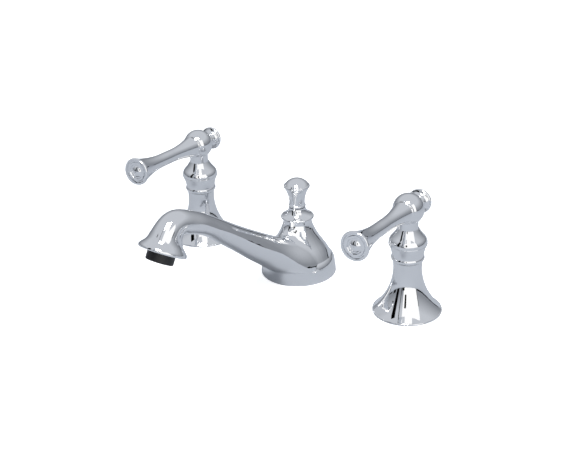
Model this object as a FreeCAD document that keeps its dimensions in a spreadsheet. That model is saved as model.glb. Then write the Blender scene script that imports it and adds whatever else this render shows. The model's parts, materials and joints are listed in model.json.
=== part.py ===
import FreeCAD, Part
import math
import os
from types import SimpleNamespace

import Sketcher

# Three-hole basin tap: a bell-mouthed spout with a lift knob and two lever handles.
# Millimetres. The deck is the plane z = 0, the spout's axis stands at x = y = 0 and its arm
# runs towards -Y. The handles stand to either side of it on the X axis.

# Driving dimensions

SIZES = {
    # layout
    "handle_spacing": 203.2,
    "deck_thickness": 30.0,
    "deck_gap": 0.3,
    "running_gap": 0.05,
    "thread_gap": 0.1,
    # escutcheon, the trumpet-shaped bell under a handle
    "bell_radius": 24.9,
    "bell_lip": 0.7,
    "bell_shoulder": 0.7,
    "bell_waist_radius": 10.2,
    "bell_waist_height": 34.4,
    "bell_height": 39.8,
    "bell_top_radius": 10.5,
    "bell_wall": 1.7,
    "bell_thread_start": 21.0,
    # handle hub, one casting with band, bulb, neck and ball
    "hub_foot_radius": 10.8,
    "bead_height": 3.6,
    "bead_radius": 2.4,
    "band_radius": 11.3,
    "band_curve": 22.0,
    "bulb_radius": 13.74,
    "bulb_edge": 0.6,
    "bulb_edge_inset": 0.1,
    "bulb_edge_height": 12.3,
    "bulb_curve": 6.6,
    "dome_radius": 12.0,
    "dome_height": 18.0,
    "shoulder_radius": 7.6,
    "shoulder_height": 24.4,
    "neck_radius": 7.1,
    "ball_radius": 11.23,
    "ball_height": 78.95,
    # lever, turned about its own axis, which starts at the ball's centre
    "lever_swing": 10.5,
    "lever_rise": 4.6,
    "lever_length": 81.6,
    "lever_seat": 8.0,
    "lever_ring_radius": 8.1,
    "lever_ring_width": 1.8,
    "lever_ring_curve": 1.2,
    "lever_groove": 0.9,
    "lever_groove_depth": 0.5,
    "lever_root_radius": 7.9,
    "lever_waist_radius": 4.95,
    "lever_waist_start": 36.0,
    "lever_waist_end": 48.0,
    "lever_rim_radius": 10.26,
    "lever_rim_width": 2.4,
    "lever_rim_curve": 1.6,
    "lever_rim_inset": 0.5,
    "dish_lip": 1.1,
    "dish_depth": 1.2,
    "dish_bevel": 0.5,
    "dish_ring_outer": 7.0,
    "dish_ring_inner": 5.6,
    "dish_ring_rise": 1.0,
    "button_radius": 4.2,
    "button_depth": 1.0,
    "button_rise": 1.6,
    "stud_radius": 4.0,
    "stud_length": 13.6,
    # finial, opposite the lever
    "finial_seat": 8.6,
    "finial_collar_radius": 6.9,
    "finial_collar_width": 2.0,
    "finial_collar_curve": 1.2,
    "finial_step": 0.5,
    "finial_neck_radius": 5.6,
    "finial_neck_length": 1.5,
    "finial_flare": 3.4,
    "finial_radius": 9.2,
    "finial_disc": 17.4,
    "finial_disc_width": 2.2,
    "finial_disc_inset": 0.9,
    "finial_disc_curve": 1.3,
    "finial_dome_curve": 12.0,
    "finial_button_radius": 3.4,
    "finial_button_step": 0.5,
    "finial_button_rise": 0.4,
    "finial_length": 22.6,
    # valve under the handle
    "barrel_radius": 13.2,
    "barrel_bevel": 1.0,
    "barrel_top": 11.0,
    "boss_top": 50.0,
    "boss_bottom": 64.0,
    "boss_radius": 13.8,
    "inlet_radius": 10.3,
    "inlet_end": 80.0,
    "inlet_bore": 4.5,
    "outlet_radius": 7.9,
    "outlet_length": 27.0,
    "outlet_drop": 55.5,
    "channel_radius": 2.4,
    "channel_offset": 9.4,
    "channel_drop": 1.0,
    "outlet_wall": 2.5,
    "chamber_radius": 7.6,
    "chamber_floor": 8.5,
    "valve_neck_radius": 8.9,
    "valve_top": 30.0,
    "cartridge_shoulder_radius": 8.5,
    "cartridge_shoulder": 4.5,
    "gland_radius": 6.2,
    "gland_top": 46.5,
    "gland_clearance": 0.4,
    "disc_radius": 5.5,
    "disc_thickness": 3.0,
    "disc_joint": 1.2,
    "seal_bore": 3.6,
    "stem_radius": 3.95,
    "stem_flange": 2.5,
    "stem_top": 61.5,
    "ring_section": 0.35,
    "ring_slack": 0.15,
    "stem_bevel": 0.6,
    "ring_height": 42.0,
    "screw_radius": 2.45,
    "screw_height": 55.0,
    "screw_key": 2.5,
    "screw_sink": 1.6,
    "screw_point": 0.7,
    "screw_socket": 3.0,
    # nuts and washers at the deck
    "top_washer_radius": 19.0,
    "top_washer_thickness": 1.5,
    "top_nut_across": 30.0,
    "top_nut_height": 4.5,
    "rubber_thickness": 3.0,
    "steel_thickness": 1.5,
    "steel_inset": 0.5,
    "lock_nut_height": 8.0,
    "valve_washer_radius": 21.0,
    "valve_nut_across": 38.0,
    "shank_washer_radius": 24.0,
    "shank_nut_across": 44.0,
    # spout base, neck and collar
    "base_radius": 28.4,
    "base_foot_height": 1.2,
    "base_wall_radius": 27.5,
    "base_wall_height": 9.2,
    "base_shoulder": 8.0,
    "cape_foot_radius": 24.8,
    "cape_foot_height": 14.2,
    "cape_radius": 19.6,
    "cape_height": 23.0,
    "cape_curve": 54.0,
    "throat_radius": 11.9,
    "throat_height": 37.0,
    "throat_top_radius": 10.3,
    "collar_foot": 43.4,
    "collar_radius": 11.2,
    "collar_rim": 1.2,
    "collar_rim_height": 2.4,
    "collar_step": 0.4,
    "collar_curve": 8.0,
    "collar_hub_radius": 6.2,
    "collar_top": 52.9,
    "gasket_inset": 4.0,
    "gasket_thickness": 3.0,
    # spout arm, arch and outlet bell
    "spout_reach": 138.7,
    "mouth_height": 69.3,
    "mouth_radius": 17.0,
    "mouth_lip": 0.9,
    "outlet_tilt": 29.0,
    "arch_corner": 24.9,
    "arch_radius": 14.0,
    "arm_rise": 33.3,
    "arm_ridge": 9.3,
    "arm_depth": 15.0,
    "arm_half_width": 11.3,
    "arm_crown": 7.2,
    "root_half_width": 24.3,
    "root_ridge": 32.0,
    "root_ridge_reach": 12.0,
    "root_belly": 1.5,
    "root_belly_reach": 15.0,
    "root_crown": 19.0,
    "heel_ridge": 28.0,
    "heel_belly": 2.0,
    "heel_crown": 21.0,
    "section_spacing": 6.0,
    "valley_fillet": 8.0,
    "valley_margin": 3.0,
    # water way and aerator in the spout
    "passage_radius": 4.4,
    "passage_bend": 4.7,
    "passage_foot": 2.4,
    "passage_root_back": 82.0,
    "passage_root_drop": 1.7,
    "passage_arch_back": 19.0,
    "passage_arch_lift": 2.3,
    "passage_outlet": 17.0,
    "cut_overlap": 1.0,
    "mouth_wall": 1.3,
    "mouth_recess": 5.0,
    "mouth_step_depth": 1.8,
    "mouth_step": 2.2,
    "mouth_recess_step": 4.6,
    "aerator_radius": 9.8,
    "aerator_length": 12.5,
    "aerator_drop": 7.0,
    "aerator_wall": 1.1,
    "aerator_edge": 0.8,
    "aerator_lip": 0.9,
    "aerator_sink": 1.0,
    "aerator_disc": 2.5,
    "grid_hole": 0.85,
    "grid_inner_ring": 3.0,
    "grid_outer_ring": 5.8,
    "washer_thickness": 1.8,
    "washer_inset": 0.6,
    # mounting shank, supply tube and tee under the spout
    "shank_radius": 16.6,
    "shank_wall": 2.0,
    "shank_seat": 13.0,
    "shank_length": 58.0,
    "tube_radius": 4.75,
    "tube_wall": 0.85,
    "tube_offset": 9.4,
    "tube_socket": 7.0,
    "tube_end": 60.0,
    "tee_radius": 6.6,
    "tee_top": 50.0,
    "tee_drop": 66.0,
    "tee_half_length": 25.0,
    "tee_bore": 4.0,
    "nipple_length": 4.5,
    "nipple_step": 1.1,
    # lift knob and rod
    "knob_gap": 0.3,
    "knob_foot_radius": 5.9,
    "knob_bead": 1.9,
    "knob_bead_curve": 1.1,
    "knob_bead_slope": 1.2,
    "knob_edge_curve": 1.3,
    "knob_edge_inset": 0.3,
    "knob_waist_radius": 5.8,
    "knob_edge_radius": 9.3,
    "knob_edge_height": 15.4,
    "knob_edge": 2.2,
    "knob_height": 22.3,
    "knob_socket": 12.5,
    "rod_radius": 2.38,
    "rod_length": 160.0,
    "rod_way": 0.8,
    "bush_radius": 4.6,
    "bush_length": 12.0,
}


class Size:
    """A size that is known both as a number and as an expression on the sheet."""

    def __init__(self, number, text=None):
        self.number = float(number)
        self.text = text or "%.6g" % number

    def __add__(self, other):
        other = as_size(other)
        return Size(self.number + other.number, "(%s + %s)" % (self.text, other.text))

    def __sub__(self, other):
        other = as_size(other)
        return Size(self.number - other.number, "(%s - %s)" % (self.text, other.text))

    def __mul__(self, other):
        other = as_size(other)
        return Size(self.number * other.number, "(%s * %s)" % (self.text, other.text))

    def __truediv__(self, other):
        other = as_size(other)
        return Size(self.number / other.number, "(%s / %s)" % (self.text, other.text))

    def __rsub__(self, other):
        return as_size(other) - self

    __radd__ = __add__
    __rmul__ = __mul__

    def __neg__(self):
        return Size(-self.number, "(0 - %s)" % self.text)

    def root(self):
        return Size(math.sqrt(self.number), "sqrt(%s)" % self.text)


def as_size(value):
    return value if isinstance(value, Size) else Size(value)


def run_onto_axis(across, along):
    """Radius of the arc that covers these two runs and ends parallel to the turning axis."""
    return (across * across + along * along) / (across * 2)


def dome(radius, height):
    """Radius of the arc that closes this radius onto the turning axis, centred on the axis."""
    return run_onto_axis(height, radius)


doc = FreeCAD.newDocument("BasinTap")
sheet = doc.addObject("Spreadsheet::Sheet", "Sizes")
for row, (alias, value) in enumerate(SIZES.items(), start=1):
    sheet.set("A%d" % row, alias)
    sheet.set("B%d" % row, str(value))
    sheet.setAlias("B%d" % row, alias)
doc.recompute()
s = SimpleNamespace(**{alias: Size(sheet.get(alias), "Sizes." + alias) for alias in SIZES})

nodes = {}
LEFT, RIGHT = 1, -1
X_AXIS = FreeCAD.Vector(1, 0, 0)
Y_AXIS = FreeCAD.Vector(0, 1, 0)
Z_AXIS = FreeCAD.Vector(0, 0, 1)
UPRIGHT = FreeCAD.Rotation()


# Sketches of turned profiles

class Bend:
    """The next stretch of an outline is an arc: it turns left or right with this radius."""

    def __init__(self, radius, side):
        self.radius = as_size(radius)
        self.side = side


class Smooth:
    """The next stretch of an outline is an arc that leaves the stretch before it smoothly."""


def arc_about(centre, start, end, side):
    """A circle's arc from start to end, and which of its ends (1 or 2) is the start."""
    first, last = (start, end) if side == LEFT else (end, start)
    angles = [math.atan2(p.y - centre.y, p.x - centre.x) for p in (first, last)]
    if angles[1] <= angles[0]:
        angles[1] += 2 * math.pi
    circle = Part.Circle(centre, Z_AXIS, (start - centre).Length)
    return Part.ArcOfCircle(circle, angles[0], angles[1]), 1 if side == LEFT else 2


def bend_centre(start, end, radius, side):
    chord = end - start
    across = FreeCAD.Vector(-chord.y, chord.x, 0).normalize()
    rise = math.sqrt(max(radius ** 2 - chord.Length ** 2 / 4, 0.0))
    return (start + end) * 0.5 + across * (side * rise)


def smooth_centre(start, end, heading):
    """Centre and side of the arc that leaves start along heading and reaches end."""
    across = FreeCAD.Vector(-heading.y, heading.x, 0)
    chord = end - start
    reach = chord.Length ** 2 / (2 * across.dot(chord))
    return start + across * reach, LEFT if reach > 0 else RIGHT


def draw_outline(sketch, outline):
    """Draw a closed outline of (radius, height) corners and bind its corners to the sheet."""
    corners, stretches = [], []
    for item in outline:
        if isinstance(item, tuple):
            corners.append(tuple(as_size(value) for value in item))
            stretches.append(None)
        else:
            stretches[-1] = item
    places = [FreeCAD.Vector(r.number, z.number, 0) for r, z in corners]
    heading = None
    ends, rules, bound = [], [], []
    for index, stretch in enumerate(stretches):
        start, end = places[index], places[(index + 1) % len(places)]
        if stretch is None:
            sketch.addGeometry(Part.LineSegment(start, end), False)
            ends.append((1, 2))
            heading = (end - start).normalize()
            continue
        if isinstance(stretch, Smooth):
            centre, side = smooth_centre(start, end, heading)
        else:
            side = stretch.side
            centre = bend_centre(start, end, stretch.radius.number, side)
        arc, first = arc_about(centre, start, end, side)
        sketch.addGeometry(arc, False)
        ends.append((first, 3 - first))
        spoke = (end - centre).normalize()
        heading = FreeCAD.Vector(-spoke.y, spoke.x, 0) * side
        if isinstance(stretch, Bend):
            rules.append(Sketcher.Constraint("Radius", index, stretch.radius.number))
            bound.append((len(rules) - 1, stretch.radius))
    for index, (r, z) in enumerate(corners):
        before = (index - 1) % len(corners)
        join = (before, ends[before][1], index, ends[index][0])
        kind = "Tangent" if isinstance(stretches[index], Smooth) else "Coincident"
        rules.append(Sketcher.Constraint(kind, *join))
        for name, value, axis in (("DistanceX", r, -2), ("DistanceY", z, -1)):
            corner = (index, ends[index][0])
            if abs(value.number) < 1e-9:
                rules.append(Sketcher.Constraint("PointOnObject", *corner, axis))
            else:
                rules.append(Sketcher.Constraint(name, *corner, value.number))
                bound.append((len(rules) - 1, value))
    sketch.addConstraint(rules)
    for number, value in bound:
        if "Sizes." in value.text:
            sketch.setExpression("Constraints[%d]" % number, value.text)


# Features of the document

def place(feature, at, rotation=UPRIGHT):
    """Put a feature at a place that stays bound to the sheet."""
    at = [as_size(value) for value in at]
    base = FreeCAD.Vector(*[value.number for value in at])
    feature.Placement = FreeCAD.Placement(base, rotation)
    for axis, value in zip("xyz", at):
        if "Sizes." in value.text:
            feature.setExpression("Placement.Base." + axis, value.text)
    return feature


def turned(name, outline, at=(0, 0, 0), rotation=UPRIGHT):
    """A body turned about its own Z axis from an outline of radii and heights."""
    body = doc.addObject("PartDesign::Body", name)
    body.Label = name
    sketch = body.newObject("Sketcher::SketchObject", name + "_outline")
    front = [plane for plane in body.Origin.OriginFeatures if plane.Role == "XZ_Plane"][0]
    sketch.AttachmentSupport = (front, [""])
    sketch.MapMode = "FlatFace"
    draw_outline(sketch, outline)
    turn = body.newObject("PartDesign::Revolution", name + "_turn")
    turn.Profile = sketch
    turn.ReferenceAxis = (sketch, ["V_Axis"])
    turn.Angle = 360
    sketch.Visibility = False
    return place(body, at, rotation)


def rod(name, radius, length, at=(0, 0, 0), rotation=UPRIGHT):
    """A plain cylinder along its own Z axis."""
    feature = doc.addObject("Part::Cylinder", name)
    for key, value in (("Radius", as_size(radius)), ("Height", as_size(length))):
        setattr(feature, key, value.number)
        if "Sizes." in value.text:
            feature.setExpression(key, value.text)
    return place(feature, at, rotation)


def prism(name, across, height, at=(0, 0, 0), rotation=UPRIGHT):
    """A hexagonal prism, by its size across flats."""
    feature = doc.addObject("Part::Prism", name)
    feature.Polygon = 6
    corner = as_size(across) / math.sqrt(3)
    for key, value in (("Circumradius", corner), ("Height", as_size(height))):
        setattr(feature, key, value.number)
        if "Sizes." in value.text:
            feature.setExpression(key, value.text)
    return place(feature, at, rotation)


def fused(name, features):
    whole = doc.addObject("Part::MultiFuse", name)
    whole.Shapes = features
    whole.Refine = True
    return whole


def cut(name, base, tools):
    whole = doc.addObject("Part::Cut", name)
    whole.Base = base
    whole.Tool = tools[0] if len(tools) == 1 else fused(name + "_tools", tools)
    whole.Refine = True
    return whole


def common(name, first, second):
    whole = doc.addObject("Part::Common", name)
    whole.Base = first
    whole.Tool = second
    return whole


def keep(name, feature):
    """Make a feature one of the tap's pieces."""
    feature.Label = name
    nodes[name] = feature
    return feature


def ring_outline(inner, outer, low, high):
    return [(inner, low), (outer, low), (outer, high), (inner, high)]


def hex_nut(name, across, height, bore, at):
    """A nut with chamfered corners, threaded side not shown."""
    corner = as_size(across) / math.sqrt(3)
    face = as_size(across) / 2
    chamfer = (corner - face) * 0.6
    blank = turned(name + "_blank", [
        (bore, 0), (corner - chamfer, 0), (corner, chamfer),
        (corner, height - chamfer), (corner - chamfer, height), (bore, height),
    ], at)
    return keep(name, common(name + "_hex", blank, prism(name + "_flats", across, height, at)))


# Handle units

def lever_axis(turn_round=False):
    """Rotation that lays a piece's own Z axis along the lever, or along the finial."""
    swing = FreeCAD.Rotation(Z_AXIS, s.lever_swing.number)
    tip = FreeCAD.Rotation(X_AXIS, 90 - s.lever_rise.number)
    back = FreeCAD.Rotation(X_AXIS, 180 if turn_round else 0)
    return swing * tip * back


def escutcheon(side, x):
    edge = s.bell_radius - s.bell_shoulder
    rise = s.bell_lip + s.bell_shoulder
    radius = run_onto_axis(edge - s.bell_waist_radius, s.bell_waist_height - rise)
    centre = s.bell_waist_radius + radius
    inner = radius + s.bell_wall

    def inside(height):
        drop = s.bell_waist_height - height
        return centre - (inner * inner - drop * drop).root()

    bore = s.valve_neck_radius + s.thread_gap
    keep(side + "_escutcheon", turned(side + "_escutcheon", [
        (s.bell_radius, 0),
        (s.bell_radius, s.bell_lip), Bend(s.bell_shoulder, LEFT),
        (edge, rise), Bend(radius, RIGHT),
        (s.bell_waist_radius, s.bell_waist_height),
        (s.bell_top_radius, s.bell_height),
        (bore, s.bell_height),
        (bore, s.bell_thread_start),
        (inside(s.bell_thread_start), s.bell_thread_start), Bend(inner, LEFT),
        (inside(as_size(0)), 0),
    ], (x, 0, 0)))


def handle_hub(side, x):
    foot = s.bell_height + s.deck_gap
    neck_top = s.ball_height - (s.ball_radius * s.ball_radius - s.neck_radius * s.neck_radius).root()
    gland = s.gland_radius + s.gland_clearance
    gland_top = s.gland_top + s.deck_gap
    socket = s.stem_radius + s.running_gap
    socket_top = s.stem_top + s.deck_gap
    bulb = s.bulb_radius - s.bulb_edge_inset
    blank = turned(side + "_hub_blank", [
        (gland, foot),
        (s.hub_foot_radius, foot), Bend(s.bead_radius, LEFT),
        (s.band_radius, foot + s.bead_height), Bend(s.band_curve, RIGHT),
        (bulb, foot + s.bulb_edge_height), Bend(s.bulb_edge, LEFT),
        (bulb, foot + s.bulb_edge_height + s.bulb_edge), Bend(s.bulb_curve, LEFT),
        (s.dome_radius, foot + s.dome_height), Smooth(),
        (s.shoulder_radius, foot + s.shoulder_height),
        (s.neck_radius, foot + s.shoulder_height),
        (s.neck_radius, neck_top), Bend(s.ball_radius, LEFT),
        (0, s.ball_height + s.ball_radius),
        (0, socket_top),
        (socket, socket_top),
        (socket, gland_top),
        (gland, gland_top),
    ], (x, 0, 0))
    ball = (x, 0, s.ball_height)
    tools = [
        rod(side + "_stud_hole", s.stud_radius + s.thread_gap, s.ball_radius * 2, ball, lever_axis()),
        rod(side + "_stud_exit", s.stud_radius + s.thread_gap, s.ball_radius * 2, ball, lever_axis(True)),
        seat_tool(side + "_lever_seat", s.lever_seat, ball, lever_axis()),
        seat_tool(side + "_finial_seat", s.finial_seat, ball, lever_axis(True)),
        rod(side + "_screw_hole", s.screw_radius + s.thread_gap, s.bulb_radius * 2,
            (x, 0, s.screw_height), screw_axis()),
    ]
    keep(side + "_handle_hub", cut(side + "_hub", blank, tools))


def seat_tool(name, start, ball, rotation):
    """A flat spot-face on the ball, across the lever's axis."""
    return turned(name, ring_outline(0, s.ball_radius, start, start + s.ball_radius), ball, rotation)


def screw_axis():
    """The set screw lies level, on the side away from the lever."""
    swing = FreeCAD.Rotation(Z_AXIS, s.lever_swing.number)
    return swing * FreeCAD.Rotation(X_AXIS, -90)


def lever(side, x):
    seat = s.lever_seat
    ring_end = seat + s.lever_ring_width
    root = ring_end + s.lever_groove
    rim = s.lever_length - s.lever_rim_width
    edge = s.lever_rim_radius - s.lever_rim_inset
    lip = edge - s.dish_lip
    floor = s.lever_length - s.dish_depth
    ring_top = floor + s.dish_ring_rise
    button = s.lever_length - s.button_depth
    root_arc = run_onto_axis(s.lever_root_radius - s.lever_waist_radius, s.lever_waist_start - root)
    keep(side + "_lever", turned(side + "_lever", [
        (0, -s.stud_length),
        (s.stud_radius, -s.stud_length),
        (s.stud_radius, seat),
        (s.lever_ring_radius, seat), Bend(s.lever_ring_curve, LEFT),
        (s.lever_ring_radius, ring_end),
        (s.lever_root_radius - s.lever_groove_depth, ring_end + s.lever_groove / 3),
        (s.lever_root_radius, root), Bend(root_arc, RIGHT),
        (s.lever_waist_radius, s.lever_waist_start),
        (s.lever_waist_radius, s.lever_waist_end), Smooth(),
        (edge, rim), Bend(s.lever_rim_curve, LEFT),
        (edge, s.lever_length),
        (lip, s.lever_length),
        (lip - s.dish_bevel, floor),
        (s.dish_ring_outer + s.dish_bevel, floor),
        (s.dish_ring_outer, ring_top),
        (s.dish_ring_inner, ring_top),
        (s.dish_ring_inner - s.dish_bevel, button),
        (s.button_radius, button), Bend(dome(s.button_radius, s.button_rise), LEFT),
        (0, button + s.button_rise),
    ], (x, 0, s.ball_height), lever_axis()))


def finial(side, x):
    seat = s.finial_seat
    collar = seat + s.finial_collar_width
    neck = collar + s.finial_step
    disc_end = s.finial_disc + s.finial_disc_width
    edge = s.finial_radius - s.finial_disc_inset
    button = s.finial_length - s.finial_button_rise
    hole = s.stud_radius + s.thread_gap
    hole_end = s.stud_length + s.deck_gap
    keep(side + "_finial", turned(side + "_finial", [
        (hole, seat),
        (s.finial_collar_radius, seat), Bend(s.finial_collar_curve, LEFT),
        (s.finial_collar_radius, collar),
        (s.finial_neck_radius, neck),
        (s.finial_neck_radius, neck + s.finial_neck_length), Bend(s.finial_flare, RIGHT),
        (edge, s.finial_disc), Bend(s.finial_disc_curve, LEFT),
        (edge, disc_end), Bend(s.finial_dome_curve, LEFT),
        (s.finial_button_radius + s.finial_button_step, button - s.finial_button_step),
        (s.finial_button_radius, button),
        Bend(dome(s.finial_button_radius, s.finial_button_rise), LEFT),
        (0, s.finial_length),
        (0, hole_end),
        (hole, hole_end),
    ], (x, 0, s.ball_height), lever_axis(True)))


def valve_body(side, x, turn):
    """The outlet points to the spout: turn is 0 or 180 degrees about the valve's axis."""
    sign = 1 if turn == 0 else -1
    blank = turned(side + "_valve_blank", [
        (s.inlet_bore, -s.inlet_end),
        (s.inlet_radius, -s.inlet_end),
        (s.inlet_radius, -s.boss_bottom),
        (s.boss_radius, -s.boss_bottom),
        (s.boss_radius, -s.boss_top),
        (s.barrel_radius, -s.boss_top),
        (s.barrel_radius, s.barrel_top - s.barrel_bevel),
        (s.barrel_radius - s.barrel_bevel, s.barrel_top),
        (s.valve_neck_radius, s.barrel_top),
        (s.valve_neck_radius, s.valve_top),
        (s.chamber_radius, s.valve_top),
        (s.chamber_radius, -s.chamber_floor),
        (s.inlet_bore, -s.chamber_floor),
    ], (x, 0, 0))
    outward = FreeCAD.Rotation(Y_AXIS, 90 * sign)
    outlet_end = x + s.outlet_length * sign
    nipple = rod(side + "_outlet", s.outlet_radius, s.outlet_length - s.inlet_bore - s.outlet_wall,
                 (outlet_end, 0, -s.outlet_drop), outward.inverted())
    bore_length = s.outlet_length - s.channel_offset + s.channel_radius
    bore = rod(side + "_outlet_bore", s.inlet_bore, bore_length,
               (outlet_end, 0, -s.outlet_drop), outward.inverted())
    channel = rod(side + "_channel", s.channel_radius, s.outlet_drop - s.channel_drop,
                  (x + s.channel_offset * sign, 0, -s.outlet_drop))
    whole = fused(side + "_valve_solid", [blank, nipple])
    keep(side + "_valve_body", cut(side + "_valve", whole, [bore, channel]))


def cartridge(side, x):
    sleeve = s.chamber_radius - s.thread_gap
    cavity = s.disc_radius + s.running_gap
    foot = s.disc_joint - s.disc_thickness
    cavity_top = s.disc_joint + s.disc_thickness + s.stem_flange + s.deck_gap
    shoulder = s.valve_top + s.cartridge_shoulder
    bore = s.stem_radius + s.running_gap
    blank = turned(side + "_cartridge_blank", [
        (cavity, foot - s.deck_gap),
        (sleeve, foot - s.deck_gap),
        (sleeve, s.valve_top),
        (s.cartridge_shoulder_radius, s.valve_top),
        (s.cartridge_shoulder_radius, shoulder),
        (s.gland_radius, shoulder),
        (s.gland_radius, s.gland_top),
        (bore, s.gland_top),
        (bore, cavity_top),
        (cavity, cavity_top),
    ], (x, 0, 0))
    across = FreeCAD.Rotation(Y_AXIS, 90)
    window = rod(side + "_window", s.channel_radius, s.chamber_radius * 2,
                 (x - s.chamber_radius, 0, s.disc_joint + s.disc_thickness * 0.5), across)
    keep(side + "_cartridge_body", cut(side + "_cartridge", blank, [window]))
    keep(side + "_seat_seal", turned(side + "_seat_seal", ring_outline(
        s.seal_bore, s.disc_radius, -s.chamber_floor, foot), (x, 0, 0)))
    disc(side + "_fixed_disc", x, foot)
    disc(side + "_rotating_disc", x, s.disc_joint)


def disc(name, x, low):
    """A ceramic disc with two water ports."""
    blank = rod(name + "_blank", s.disc_radius, s.disc_thickness, (x, 0, low))
    offset = s.disc_radius * 0.52
    ports = [
        rod(name + "_port_%d" % number, s.disc_radius * 0.3, s.disc_thickness * 2,
            (x, offset * sign, low - s.disc_thickness * 0.5))
        for number, sign in ((1, 1), (2, -1))
    ]
    keep(name, cut(name + "_drilled", blank, ports))


def stem(side, x):
    low = s.disc_joint + s.disc_thickness
    groove = s.ring_section + s.ring_slack
    ring_middle = s.stem_radius - s.ring_section
    keep(side + "_stem", turned(side + "_stem", [
        (0, low),
        (s.disc_radius - s.running_gap, low),
        (s.disc_radius - s.running_gap, low + s.stem_flange),
        (s.stem_radius, low + s.stem_flange),
        (s.stem_radius, s.ring_height - groove),
        (ring_middle - s.ring_section, s.ring_height - groove),
        (ring_middle - s.ring_section, s.ring_height + groove),
        (s.stem_radius, s.ring_height + groove),
        (s.stem_radius, s.stem_top - s.stem_bevel),
        (s.stem_radius - s.stem_bevel, s.stem_top),
        (0, s.stem_top),
    ], (x, 0, 0)))
    ring = doc.addObject("Part::Torus", side + "_stem_ring")
    for key, value in (("Radius1", ring_middle), ("Radius2", s.ring_section)):
        setattr(ring, key, value.number)
        ring.setExpression(key, value.text)
    keep(side + "_stem_ring", place(ring, (x, 0, s.ring_height)))


def set_screw(side, x):
    start = s.stem_radius + s.thread_gap
    end = s.bulb_radius - s.screw_sink
    at = (x, 0, s.screw_height)
    blank = turned(side + "_screw_blank", [
        (0, start), (s.screw_radius - s.screw_point, start),
        (s.screw_radius, start + s.screw_point),
        (s.screw_radius, end), (0, end),
    ], at, screw_axis())
    key = prism(side + "_screw_key", s.screw_key, end, at, screw_axis())
    stop = turned(side + "_screw_stop", ring_outline(
        0, s.screw_radius, end - s.screw_socket, end + s.screw_sink), at, screw_axis())
    keep(side + "_set_screw", cut(side + "_screw", blank, [common(side + "_screw_socket", key, stop)]))


def deck_fixings(name, x, radius, washer_radius, across):
    """Rubber washer, steel washer and lock nut on a threaded barrel under the deck."""
    bore = radius + s.thread_gap
    rubber_low = -s.deck_thickness - s.rubber_thickness
    steel_low = rubber_low - s.steel_thickness
    keep(name + "_rubber_washer", turned(name + "_rubber_washer", ring_outline(
        bore, washer_radius, rubber_low, -s.deck_thickness), (x, 0, 0)))
    keep(name + "_steel_washer", turned(name + "_steel_washer", ring_outline(
        bore, washer_radius - s.steel_inset, steel_low, rubber_low), (x, 0, 0)))
    hex_nut(name + "_lock_nut", across, s.lock_nut_height, bore, (x, 0, steel_low - s.lock_nut_height))


def handle_unit(side, sign, turn):
    x = s.handle_spacing * (0.5 * sign)
    escutcheon(side, x)
    handle_hub(side, x)
    lever(side, x)
    finial(side, x)
    set_screw(side, x)
    stem(side, x)
    cartridge(side, x)
    valve_body(side, x, turn)
    bore = s.barrel_radius + s.thread_gap
    keep(side + "_top_washer", turned(side + "_top_washer", ring_outline(
        bore, s.top_washer_radius, 0, s.top_washer_thickness), (x, 0, 0)))
    hex_nut(side + "_top_nut", s.top_nut_across, s.top_nut_height, bore,
            (x, 0, s.top_washer_thickness))
    deck_fixings(side + "_valve", x, s.barrel_radius, s.valve_washer_radius, s.valve_nut_across)


# Spout casting

def out(forward, up):
    """A point of the spout's middle plane, by its distance in front of the axis and its height."""
    return FreeCAD.Vector(0, -forward, up)


def bearing(degrees):
    """Unit step in the middle plane, by its rise above the horizontal in front of the axis."""
    angle = math.radians(degrees)
    return out(math.cos(angle), math.sin(angle))


def section(ridge, belly, half_width, crown, power):
    """A cross-section with a crowned top and a rounded belly that meet in a crease each side.

    The top is a circle's arc that stands crown above the crease. The belly's width falls off
    as a superellipse: a power of 2 makes it an ellipse, and a lower one a keel.
    """
    up = (ridge - belly).normalize()
    crease = ridge - up * crown
    drop = (crease - belly).Length
    steps = 10
    if crown < half_width:
        radius = (half_width ** 2 + crown ** 2) / (2 * crown)
        half_angle = math.asin(half_width / radius)
        top = [
            crease + X_AXIS * (radius * math.sin(a)) + up * (radius * math.cos(a) - radius + crown)
            for a in [half_angle * (1 - 2 * i / steps) for i in range(steps + 1)]
        ]
    else:
        top = [
            crease + X_AXIS * (half_width * math.cos(a)) + up * (crown * math.sin(a))
            for a in [math.pi * i / steps for i in range(steps + 1)]
        ]
    low = []
    for i in range(steps + 1):
        a = math.pi * i / steps
        across = math.copysign(abs(math.cos(a)) ** (2 / power), -math.cos(a))
        low.append(crease + X_AXIS * (half_width * across) - up * (drop * math.sin(a) ** (2 / power)))
    edges = []
    for points in (top, low):
        points[0], points[-1] = [crease + X_AXIS * math.copysign(half_width, p.x)
                                 for p in (points[0], points[-1])]
        curve = Part.BSplineCurve()
        curve.interpolate(points)
        edges.append(curve.toShape())
    return Part.Wire(edges)


def spout_spine():
    """Corner of the arch, start of the arch on the arm's centre line, and centre of its bend."""
    mouth = out(s.spout_reach.number, s.mouth_height.number)
    rise = s.arm_rise.number
    fall = 90 - s.outlet_tilt.number
    corner = mouth - bearing(-fall) * s.arch_corner.number
    radius = s.arch_radius.number
    tangent = radius * math.tan(math.radians((rise + fall) / 2))
    start = corner - bearing(rise) * tangent
    centre = start - bearing(rise + 90) * radius
    return mouth, corner, start, centre, tangent


def smooth_through(values, stops):
    """A smooth run of values (vectors), one at each stop."""
    curve = Part.BSplineCurve()
    curve.interpolate(Points=values, Parameters=stops)
    return curve


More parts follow.
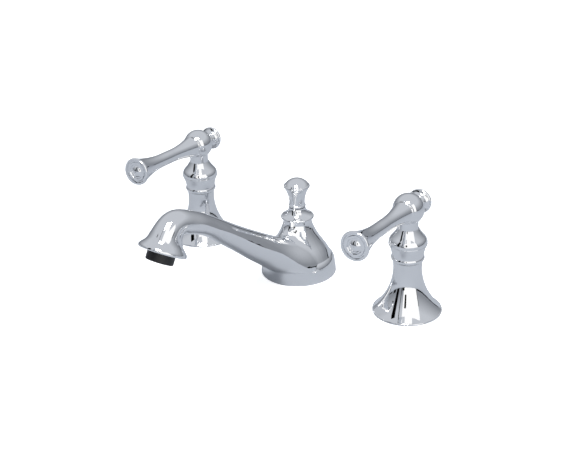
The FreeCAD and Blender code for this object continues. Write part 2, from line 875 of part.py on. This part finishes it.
def arm_stations():
    """Control sections of the arm: ridge, belly, and (half width, crown, power)."""
    mouth, corner, start, centre, tangent = spout_spine()
    rise = s.arm_rise.number
    fall = 90 - s.outlet_tilt.number
    depth, width, crown = s.arm_depth.number, s.arm_half_width.number, s.arm_crown.number
    root_width = s.root_half_width.number
    keel = 1.6
    stations = [
        (out(0, s.heel_ridge.number), out(0, s.heel_belly.number),
         (root_width + 1.0, s.heel_crown.number, 2.0)),
        (out(s.root_ridge_reach.number, s.root_ridge.number),
         out(s.root_belly_reach.number, s.root_belly.number),
         (root_width, s.root_crown.number, 2.0)),
    ]
    # from the root the ridge runs straight to the arch, and the belly closes in on it
    along, up = bearing(rise), bearing(rise + 90)
    for back, swell, share_depth, share_width, share_crown in (
        (97.0, 1.6, 1.6, 1.42, 1.5), (82.0, 0.8, 1.46, 1.24, 1.33), (58.0, 0.0, 1.22, 1.11, 1.13),
        (34.0, 0.0, 1.06, 1.06, 0.96), (18.0, 0.0, 1.0, 1.0, 1.0),
    ):
        ridge = start - along * back + up * (s.arm_ridge.number + swell)
        belly = ridge - up * (depth * share_depth)
        stations.append((ridge, belly, (width * share_width, crown * share_crown, keel)))
    # round the arch the section turns into the round bell
    for share, outer, inner, share_width, share_crown, power in (
        (0.1, 7.7, 9.6, 0.95, 0.98, 1.65), (0.36, 9.0, 9.4, 0.92, 1.1, 1.8),
        (0.62, 10.2, 9.8, 0.92, 1.3, 1.95), (0.86, 11.0, 10.8, 0.96, 1.5, 2.0),
    ):
        turn = rise + 90 - (rise + fall) * share
        middle = centre + bearing(turn) * s.arch_radius.number
        stations.append((
            middle + bearing(turn) * outer, middle - bearing(turn) * inner,
            (width * share_width, crown * share_crown, power)))
    # the bell below the arch, straight along the outlet
    front = bearing(90 - fall)
    drop = s.arch_corner.number - tangent
    rim, lip = s.mouth_radius.number, s.mouth_lip.number
    for rise_share, radius in (
        (0.62, rim * 0.79), (0.36, rim * 0.925), (0.22, rim * 0.985),
        (lip / drop, rim), (0.0, rim - lip * 0.6),
    ):
        middle = mouth - bearing(-fall) * (drop * rise_share)
        stations.append((
            middle + front * radius, middle - front * radius, (radius, radius, 2.0)))
    return stations


def arm_shape():
    """The arm and its bell: sections drawn closely along smooth runs through the stations."""
    stations = arm_stations()
    stops = [0.0]
    for (ridge, belly, _), (last_ridge, last_belly, _) in zip(stations[1:], stations):
        stops.append(stops[-1] + (ridge + belly - last_ridge - last_belly).Length / 2)
    ridges = smooth_through([station[0] for station in stations], stops)
    bellies = smooth_through([station[1] for station in stations], stops)
    forms = smooth_through([FreeCAD.Vector(*station[2]) for station in stations], stops)
    wires = []
    for low, high in zip(stops, stops[1:]):
        steps = max(1, round((high - low) / s.section_spacing.number))
        for step in range(steps):
            stop = low + (high - low) * step / steps
            wires.append(section(ridges.value(stop), bellies.value(stop), *forms.value(stop)))
    wires.append(section(stations[-1][0], stations[-1][1], *stations[-1][2]))
    return Part.makeLoft(wires, True, False)


def pipe_shape(points, radius, bend):
    """A round passage along straight runs that are joined by tangent arcs."""
    edges, last = [], points[0]
    for before, corner, after in zip(points, points[1:], points[2:]):
        back = (before - corner).normalize()
        ahead = (after - corner).normalize()
        half = math.acos(max(-1.0, min(1.0, back.dot(ahead)))) / 2
        reach = bend / math.tan(half)
        first, final = corner + back * reach, corner + ahead * reach
        middle = (back + ahead).normalize()
        top = corner + middle * (bend / math.sin(half) - bend)
        edges.append(Part.LineSegment(last, first).toShape())
        edges.append(Part.Arc(first, top, final).toShape())
        last = final
    edges.append(Part.LineSegment(last, points[-1]).toShape())
    path = Part.Wire(edges)
    start = (points[1] - points[0]).normalize()
    profile = Part.Wire([Part.makeCircle(radius, points[0], start)])
    return path.makePipeShell([profile], True, False)


def turned_shape(corners, at, rotation):
    """A solid of plain rings, turned from straight stretches of (radius, height)."""
    points = [FreeCAD.Vector(r, 0, z) for r, z in corners]
    face = Part.Face(Part.makePolygon(points + points[:1]))
    solid = face.revolve(FreeCAD.Vector(), Z_AXIS, 360)
    solid.Placement = FreeCAD.Placement(at, rotation)
    return solid


def outlet_frame():
    """Centre of the mouth and the rotation that lays Z out of the mouth."""
    mouth = spout_spine()[0]
    tilt = FreeCAD.Rotation(X_AXIS, 180 - s.outlet_tilt.number)
    return mouth, tilt


def spout_body():
    edge_low = s.collar_foot
    stem = turned("spout_stem", [
        (0, 0),
        (s.base_radius, 0),
        (s.base_radius, s.base_foot_height),
        (s.base_wall_radius, s.base_wall_height), Bend(s.base_shoulder, LEFT),
        (s.cape_foot_radius, s.cape_foot_height), Bend(s.cape_curve, LEFT),
        (s.cape_radius, s.cape_height), Smooth(),
        (s.throat_radius, s.throat_height), Smooth(),
        (s.throat_top_radius, edge_low),
        (s.collar_radius, edge_low + s.collar_step), Bend(s.collar_rim, LEFT),
        (s.collar_radius, edge_low + s.collar_step + s.collar_rim_height), Bend(s.collar_curve, RIGHT),
        (s.collar_hub_radius, s.collar_top),
        (0, s.collar_top),
    ])
    doc.recompute()
    body = stem.Shape.fuse(arm_shape())
    body = body.removeSplitter()
    mouth, tilt = outlet_frame()
    tools = [
        Part.makeCylinder(
            s.base_radius.number - s.gasket_inset.number + s.thread_gap.number,
            s.gasket_thickness.number),
        Part.makeCylinder(s.shank_radius.number + s.thread_gap.number, s.shank_seat.number),
        Part.makeCylinder(s.rod_radius.number + s.rod_way.number, s.collar_top.number),
        Part.makeCylinder(
            s.bush_radius.number + s.running_gap.number, s.bush_length.number,
            FreeCAD.Vector(0, 0, s.collar_top.number - s.bush_length.number)),
        Part.makeCylinder(
            s.tube_radius.number + s.running_gap.number, s.tube_socket.number,
            out(s.tube_offset.number, s.shank_seat.number)),
    ]
    lip = s.mouth_radius.number - s.mouth_wall.number
    seat = s.aerator_length.number - s.aerator_drop.number
    socket = s.aerator_radius.number + s.thread_gap.number
    recess = s.mouth_recess.number
    floor = seat + s.washer_thickness.number
    over = s.cut_overlap.number
    tools.append(turned_shape([
        (0, over), (lip, over), (lip, 0),
        (lip - s.mouth_step.number, -s.mouth_step_depth.number),
        (lip - s.mouth_recess_step.number, -recess),
        (socket, -recess), (socket, -floor), (0, -floor),
    ], mouth, tilt))
    start = spout_spine()[2]
    socket_top = s.shank_seat.number + s.tube_socket.number
    outlet = bearing(s.outlet_tilt.number - 90)
    along, up = bearing(s.arm_rise.number), bearing(s.arm_rise.number + 90)
    route = [
        out(s.tube_offset.number, socket_top - over),
        out(s.tube_offset.number, socket_top + s.passage_foot.number),
        start - along * s.passage_root_back.number - up * s.passage_root_drop.number,
        start - along * s.passage_arch_back.number + up * s.passage_arch_lift.number,
        mouth - outlet * s.passage_outlet.number,
        mouth - outlet * seat,
    ]
    tools.append(pipe_shape(route, s.passage_radius.number, s.passage_bend.number))
    valley_top = s.throat_height.number + s.valley_margin.number
    valley = [
        edge for edge in body.Edges
        if s.cape_height.number < edge.BoundBox.ZMax < valley_top
        and -s.cape_foot_radius.number < edge.BoundBox.YMin and edge.BoundBox.YMax < -over
    ]
    body = body.makeFillet(s.valley_fillet.number, valley)
    for tool in tools:
        body = body.cut(tool)
    reach = s.spout_reach.number * 2
    above = Part.makeBox(reach, reach * 2, reach, FreeCAD.Vector(-reach / 2, -reach, 0))
    body = body.common(above)
    feature = doc.addObject("Part::Feature", "spout_casting")
    feature.Shape = body
    doc.removeObject(stem.Name)
    keep("spout_body", place(feature, (0, 0, 0)))


# Pieces in and under the spout

def aerator():
    mouth, tilt = outlet_frame()
    at = (mouth.x, mouth.y, mouth.z)
    low = s.aerator_drop - s.aerator_length
    inner = s.aerator_radius - s.aerator_wall
    keep("aerator_housing", turned("aerator_housing", [
        (inner, low), (s.aerator_radius, low),
        (s.aerator_radius, s.aerator_drop - s.aerator_edge), Bend(s.aerator_edge, LEFT),
        (s.aerator_radius - s.aerator_edge, s.aerator_drop),
        (inner - s.aerator_lip, s.aerator_drop),
        (inner - s.aerator_lip, s.aerator_drop - s.aerator_sink),
        (inner, s.aerator_drop - s.aerator_sink),
    ], at, tilt))
    keep("aerator_washer", turned("aerator_washer", ring_outline(
        s.passage_radius + s.washer_inset, s.aerator_radius, low - s.washer_thickness, low), at, tilt))
    grid = rod("aerator_grid", inner - s.running_gap, s.aerator_disc, at, tilt)
    high = s.aerator_drop - s.aerator_sink
    base = mouth + tilt.multVec(FreeCAD.Vector(0, 0, high.number - s.aerator_disc.number))
    place(grid, (base.x, base.y, base.z), tilt)
    holes = []
    for ring, count in ((0.0, 1), (s.grid_inner_ring.number, 6), (s.grid_outer_ring.number, 12)):
        for number in range(count):
            angle = 2 * math.pi * number / count
            offset = FreeCAD.Vector(
                ring * math.cos(angle), ring * math.sin(angle), -s.cut_overlap.number)
            spot = base + tilt.multVec(offset)
            holes.append(rod("grid_hole", s.grid_hole, s.aerator_disc * 2, (spot.x, spot.y, spot.z), tilt))
    keep("aerator_insert", cut("aerator_insert_drilled", grid, holes))


def lift_knob():
    foot = s.collar_top + s.knob_gap
    waist = foot + s.knob_bead + s.knob_bead_slope
    edge = foot + s.knob_edge_height
    flare = run_onto_axis(s.knob_edge_radius - s.knob_waist_radius, edge - waist)
    hole = s.rod_radius + s.thread_gap
    top_radius = s.knob_edge_radius - s.knob_edge_inset
    crown = s.knob_height - s.knob_edge_height - s.knob_edge
    keep("lift_knob", turned("lift_knob", [
        (hole, foot),
        (s.knob_foot_radius, foot), Bend(s.knob_bead_curve, LEFT),
        (s.knob_foot_radius, foot + s.knob_bead),
        (s.knob_waist_radius, waist), Bend(flare, RIGHT),
        (s.knob_edge_radius, edge), Bend(s.knob_edge_curve, LEFT),
        (top_radius, edge + s.knob_edge), Bend(dome(top_radius, crown), LEFT),
        (0, foot + s.knob_height),
        (0, foot + s.knob_socket),
        (hole, foot + s.knob_socket),
    ]))
    top = foot + s.knob_socket - s.deck_gap
    keep("lift_rod", rod("lift_rod", s.rod_radius, s.rod_length, (0, 0, top - s.rod_length)))
    keep("rod_bush", turned("rod_bush", ring_outline(
        s.rod_radius + s.running_gap, s.bush_radius, s.collar_top - s.bush_length, s.collar_top)))


def spout_fixings():
    keep("base_gasket", turned("base_gasket", ring_outline(
        s.shank_radius + s.thread_gap, s.base_radius - s.gasket_inset, 0, s.gasket_thickness)))
    inner = s.shank_radius - s.shank_wall
    keep("mounting_shank", turned("mounting_shank", ring_outline(
        inner, s.shank_radius, s.shank_seat - s.shank_length, s.shank_seat)))
    deck_fixings("spout", as_size(0), s.shank_radius, s.shank_washer_radius, s.shank_nut_across)
    top = s.shank_seat + s.tube_socket
    at = (0, -s.tube_offset, 0)
    keep("supply_tube", turned("supply_tube", ring_outline(
        s.tube_radius - s.tube_wall, s.tube_radius, -s.tube_end, top), at))
    socket = turned("tee_socket", ring_outline(0, s.tee_radius, -s.tee_drop, -s.tee_top), at)
    middle = (0, -s.tube_offset, -s.tee_drop)
    across = FreeCAD.Rotation(Y_AXIS, 90)
    end = s.tee_half_length
    nipple = s.tee_radius - s.nipple_step
    run = turned("tee_run", [
        (0, -end), (nipple, -end), (nipple, s.nipple_length - end),
        (s.tee_radius, s.nipple_length - end), (s.tee_radius, end - s.nipple_length),
        (nipple, end - s.nipple_length), (nipple, end), (0, end),
    ], middle, across)
    bores = [
        rod("tee_socket_bore", s.tube_radius + s.running_gap, s.tee_top,
            (0, -s.tube_offset, -s.tube_end)),
        rod("tee_drop_bore", s.tee_bore, s.tee_top, (0, -s.tube_offset, -s.tee_drop)),
        rod("tee_run_bore", s.tee_bore, s.tee_half_length * 3,
            (-s.tee_half_length * 1.5, -s.tube_offset, -s.tee_drop), across),
    ]
    keep("hose_tee", cut("tee", fused("tee_solid", [socket, run]), bores))


def check(feature):
    """Stop if a feature failed or its shape can't be made."""
    if "Invalid" in feature.State or "Error" in feature.State:
        raise RuntimeError("%s failed: %s" % (feature.Label, feature.State))


handle_unit("left", -1, 0)
handle_unit("right", 1, 180)
spout_body()
aerator()
lift_knob()
spout_fixings()
doc.recompute()

for feature in doc.Objects:
    check(feature)
for name, feature in nodes.items():
    if feature.Shape.isNull() or not feature.Shape.isValid() or not feature.Shape.Solids:
        raise RuntimeError("%s has no valid shape" % name)

os.makedirs("parts", exist_ok=True)
for name, feature in nodes.items():
    feature.Shape.exportStep("parts/%s.step" % name)
print("%d pieces" % len(nodes))
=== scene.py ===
import json
import math

import bpy
from mathutils import Matrix, Vector

# The dressed three-hole basin tap: finishes, studio and camera. Metres, in the CAD's frame.

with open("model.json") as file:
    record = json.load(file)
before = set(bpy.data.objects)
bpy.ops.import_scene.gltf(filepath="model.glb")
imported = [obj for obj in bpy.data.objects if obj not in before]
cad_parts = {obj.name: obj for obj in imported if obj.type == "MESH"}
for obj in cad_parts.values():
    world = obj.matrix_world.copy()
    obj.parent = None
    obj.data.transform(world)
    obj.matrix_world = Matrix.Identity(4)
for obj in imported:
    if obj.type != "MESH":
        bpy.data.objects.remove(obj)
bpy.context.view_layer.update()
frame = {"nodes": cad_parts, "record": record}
NODES = frame["nodes"]

MM = 0.001

# Finishes, by the record's slot: base colour, metallic, roughness, and the grain, if any, as the
# noise's scale, its stretch, and the relief's strength and depth.
GRAIN_DETAIL = 3.0
EVEN = (1.0, 1.0, 1.0)
FINISHES = {
    "polished_chrome": ((0.87, 0.875, 0.885), 1.0, 0.035, (60.0, EVEN, 0.05, 0.4 * MM)),
    "raw_brass": ((0.72, 0.55, 0.26), 1.0, 0.3, (400.0, (0.15, 0.15, 6.0), 0.25, 0.2 * MM)),
    "steel": ((0.60, 0.61, 0.63), 1.0, 0.28, (500.0, (1.0, 1.0, 0.3), 0.2, 0.2 * MM)),
    "black_plastic": ((0.006, 0.006, 0.007), 0.0, 0.4, (900.0, EVEN, 0.15, 0.1 * MM)),
    "grid_plastic": ((0.62, 0.63, 0.63), 0.0, 0.45, None),
    "black_rubber": ((0.02, 0.02, 0.021), 0.0, 0.7, (700.0, EVEN, 0.3, 0.2 * MM)),
    "ceramic_disc": ((0.86, 0.85, 0.81), 0.0, 0.18, None),
}

# Camera, matched to the photograph: it looks down at the tap from the front and the right.
CAMERA_AZIMUTH = 41.571
CAMERA_ELEVATION = 25.207
CAMERA_ROLL = -1.733
CAMERA_DISTANCE = 951.5 * MM
CAMERA_OFFSET = (10.57 * MM, -33.78 * MM)
CAMERA_LENS = 78.43
CAMERA_CLIP = (0.01, 50.0)
SENSOR_WIDTH = 36.0

# The floor: paper white to the camera, and a grey mat to polished metal.
FLOOR_HALF = 6.0
FLOOR_DROP = 0.05 * MM
FLOOR_LIFT = 0.55
PAPER = (0.95, 0.96, 0.97)
MAT = (0.43, 0.452, 0.488)

# The room that lights the tap. The walls reach up to WALL_TOP, and the ceiling starts at
# CEILING_FOOT, both as the sine of an elevation.
WALLS = (0.27, 0.286, 0.315)
WALL_TOP = 0.12
CEILING = (0.60, 0.625, 0.67)
CEILING_FOOT = 0.60

# The lamp overhead: azimuth and elevation, distance, width, height, watts.
OVERHEAD = (30, 68, 1.5, 0.5, 0.35, 14.0)

# Cards that the metal mirrors, each by its azimuths and elevations. Azimuth 0 is the tap's
# front, and 90 its right.
CARD_COLUMNS = 24
CARD_ROWS = 12
WINDOW_DISTANCE = 2.0
WINDOW_STRENGTH = 1.15
WINDOWS = (((16, 92), (-2, 48)), ((30, 62), (48, 62)))
DARK_DISTANCE = 1.6
DARK_CARDS = (
    ((-27, -12), (-1, 48)),
    ((2, 5), (-1, 60)),
    ((26, 34), (12, 34)),
    ((92, 94), (-1, 25)),
    ((-48, -34), (0, 5)),
    ((8, 22), (0, 5)),
    ((96, 176), (0.0, 2.2)),
    ((-176, -60), (0.0, 2.2)),
)
WHITE = (1.0, 1.0, 1.0)
BLACK = (0.0, 0.0, 0.0)


# Materials

def new_material(name):
    """A material with an empty node tree, its tree and its output."""
    material = bpy.data.materials.new(name)
    material.use_nodes = True
    tree = material.node_tree
    tree.nodes.clear()
    return material, tree, tree.nodes.new("ShaderNodeOutputMaterial")


def add_grain(tree, shader, scale, stretch, strength, depth):
    """Fine surface relief from stretched noise, in the object's own coordinates."""
    place = tree.nodes.new("ShaderNodeTexCoord")
    mapping = tree.nodes.new("ShaderNodeMapping")
    mapping.inputs["Scale"].default_value = stretch
    noise = tree.nodes.new("ShaderNodeTexNoise")
    noise.inputs["Scale"].default_value = scale
    noise.inputs["Detail"].default_value = GRAIN_DETAIL
    bump = tree.nodes.new("ShaderNodeBump")
    bump.inputs["Strength"].default_value = strength
    bump.inputs["Distance"].default_value = depth
    tree.links.new(place.outputs["Object"], mapping.inputs["Vector"])
    tree.links.new(mapping.outputs["Vector"], noise.inputs["Vector"])
    tree.links.new(noise.outputs["Fac"], bump.inputs["Height"])
    tree.links.new(bump.outputs["Normal"], shader.inputs["Normal"])


def finish(slot):
    """The material of one slot of the record."""
    color, metallic, roughness, grain = FINISHES[slot]
    material, tree, output = new_material(slot)
    shader = tree.nodes.new("ShaderNodeBsdfPrincipled")
    shader.inputs["Base Color"].default_value = (*color, 1.0)
    shader.inputs["Metallic"].default_value = metallic
    shader.inputs["Roughness"].default_value = roughness
    tree.links.new(shader.outputs["BSDF"], output.inputs["Surface"])
    if grain:
        add_grain(tree, shader, *grain)
    return material


def glow(name, color, strength):
    """A material that only gives off light."""
    material, tree, output = new_material(name)
    light = tree.nodes.new("ShaderNodeEmission")
    light.inputs["Color"].default_value = (*color, 1.0)
    light.inputs["Strength"].default_value = strength
    tree.links.new(light.outputs["Emission"], output.inputs["Surface"])
    return material


def dress_nodes():
    """Give every CAD node the finish of its slot in the record."""
    materials = {slot: finish(slot) for slot in FINISHES}
    for part in frame["record"]["subparts"]:
        for place in NODES[part["node"]].material_slots:
            place.material = materials[part["material_slot"]]


# Studio

def direction(azimuth, elevation):
    """The way out from the tap: azimuth 0 is the front, and grows to the tap's right."""
    a, e = math.radians(azimuth), math.radians(elevation)
    return Vector((math.sin(a) * math.cos(e), -math.cos(a) * math.cos(e), math.sin(e)))


def add_object(name, data):
    """A new object with this data, in the scene."""
    item = bpy.data.objects.new(name, data)
    bpy.context.scene.collection.objects.link(item)
    return item


def arc_card(name, azimuths, elevations, distance, material):
    """A card bent round the tap: it covers these azimuths and elevations at one distance."""
    width = CARD_COLUMNS + 1
    points = []
    for row in range(CARD_ROWS + 1):
        elevation = elevations[0] + (elevations[1] - elevations[0]) * row / CARD_ROWS
        for column in range(width):
            azimuth = azimuths[0] + (azimuths[1] - azimuths[0]) * column / CARD_COLUMNS
            points.append(direction(azimuth, elevation) * distance)
    corners = [row * width + column for row in range(CARD_ROWS) for column in range(CARD_COLUMNS)]
    faces = [(corner, corner + 1, corner + width + 1, corner + width) for corner in corners]
    mesh = bpy.data.meshes.new(name)
    mesh.from_pydata(points, [], faces)
    mesh.materials.append(material)
    card = add_object(name, mesh)
    card.visible_camera = False
    card.visible_shadow = False


def floor_material():
    """White to the camera. Polished metal mirrors a cool grey mat, shadowed by the tap."""
    material, tree, output = new_material("paper")
    link = tree.links.new
    path = tree.nodes.new("ShaderNodeLightPath")
    paper = tree.nodes.new("ShaderNodeBsdfDiffuse")
    paper.inputs["Color"].default_value = (*PAPER, 1.0)
    lift = tree.nodes.new("ShaderNodeEmission")
    lift.inputs["Strength"].default_value = FLOOR_LIFT
    white = tree.nodes.new("ShaderNodeAddShader")
    mat = tree.nodes.new("ShaderNodeBsdfDiffuse")
    mat.inputs["Color"].default_value = (*MAT, 1.0)
    mix = tree.nodes.new("ShaderNodeMixShader")
    link(paper.outputs["BSDF"], white.inputs[0])
    link(lift.outputs["Emission"], white.inputs[1])
    link(path.outputs["Is Glossy Ray"], mix.inputs["Fac"])
    link(white.outputs["Shader"], mix.inputs[1])
    link(mat.outputs["BSDF"], mix.inputs[2])
    link(mix.outputs["Shader"], output.inputs["Surface"])
    return material


def studio_floor():
    """The deck that the tap stands on."""
    half = FLOOR_HALF
    mesh = bpy.data.meshes.new("paper")
    mesh.from_pydata([(-half, -half, 0), (half, -half, 0), (half, half, 0), (-half, half, 0)],
                     [], [(0, 1, 2, 3)])
    mesh.materials.append(floor_material())
    floor = add_object("paper", mesh)
    floor.location.z = -FLOOR_DROP


def studio_sky():
    """White to the camera; to the chrome a cool grey room that lightens overhead."""
    world = bpy.data.worlds.new("room")
    bpy.context.scene.world = world
    world.use_nodes = True
    tree = world.node_tree
    tree.nodes.clear()
    link = tree.links.new
    output = tree.nodes.new("ShaderNodeOutputWorld")
    place = tree.nodes.new("ShaderNodeTexCoord")
    split = tree.nodes.new("ShaderNodeSeparateXYZ")
    ramp = tree.nodes.new("ShaderNodeValToRGB")
    room = tree.nodes.new("ShaderNodeBackground")
    plain = tree.nodes.new("ShaderNodeBackground")
    path = tree.nodes.new("ShaderNodeLightPath")
    mix = tree.nodes.new("ShaderNodeMixShader")
    stops = ramp.color_ramp.elements
    stops[0].position, stops[0].color = WALL_TOP, (*WALLS, 1.0)
    stops[1].position, stops[1].color = CEILING_FOOT, (*CEILING, 1.0)
    plain.inputs["Color"].default_value = (*WHITE, 1.0)
    link(place.outputs["Generated"], split.inputs["Vector"])
    link(split.outputs["Z"], ramp.inputs["Fac"])
    link(ramp.outputs["Color"], room.inputs["Color"])
    link(path.outputs["Is Camera Ray"], mix.inputs["Fac"])
    link(room.outputs["Background"], mix.inputs[1])
    link(plain.outputs["Background"], mix.inputs[2])
    link(mix.outputs["Shader"], output.inputs["Surface"])


def softbox(name, azimuth, elevation, distance, width, height, watts):
    """A rectangular lamp that faces the tap."""
    light = bpy.data.lights.new(name, "AREA")
    light.shape = "RECTANGLE"
    light.size, light.size_y = width, height
    light.energy = watts
    lamp = add_object(name, light)
    centre = direction(azimuth, elevation) * distance
    turn = (-centre).to_track_quat("-Z", "Y")
    lamp.matrix_world = Matrix.Translation(centre) @ turn.to_matrix().to_4x4()


def studio():
    """The floor, the room, the lamp, and the cards that give the metal its reflections."""
    studio_floor()
    studio_sky()
    softbox("overhead", *OVERHEAD)
    window = glow("window", WHITE, WINDOW_STRENGTH)
    dark = glow("dark_card", BLACK, 0.0)
    for number, (azimuths, elevations) in enumerate(WINDOWS):
        arc_card("window_%d" % number, azimuths, elevations, WINDOW_DISTANCE, window)
    for number, (azimuths, elevations) in enumerate(DARK_CARDS):
        arc_card("dark_card_%d" % number, azimuths, elevations, DARK_DISTANCE, dark)


def camera():
    """The photograph's camera, by its direction, distance and the offset of the frame's centre."""
    azimuth, roll = math.radians(CAMERA_AZIMUTH), math.radians(CAMERA_ROLL)
    back = direction(CAMERA_AZIMUTH, CAMERA_ELEVATION)
    right = Vector((math.cos(azimuth), math.sin(azimuth), 0.0))
    up = back.cross(right)
    turned_right = right * math.cos(roll) + up * math.sin(roll)
    turned_up = up * math.cos(roll) - right * math.sin(roll)
    aside = turned_right * CAMERA_OFFSET[0] + turned_up * CAMERA_OFFSET[1]
    data = bpy.data.cameras.new("photo")
    data.lens = CAMERA_LENS
    data.sensor_width = SENSOR_WIDTH
    data.sensor_fit = "HORIZONTAL"
    data.clip_start, data.clip_end = CAMERA_CLIP
    view = add_object("photo", data)
    axes = Matrix((turned_right, turned_up, back)).transposed().to_4x4()
    view.matrix_world = Matrix.Translation(back * CAMERA_DISTANCE - aside) @ axes
    bpy.context.scene.camera = view


dress_nodes()
studio()
camera()
bpy.context.scene.view_settings.view_transform = "Standard"
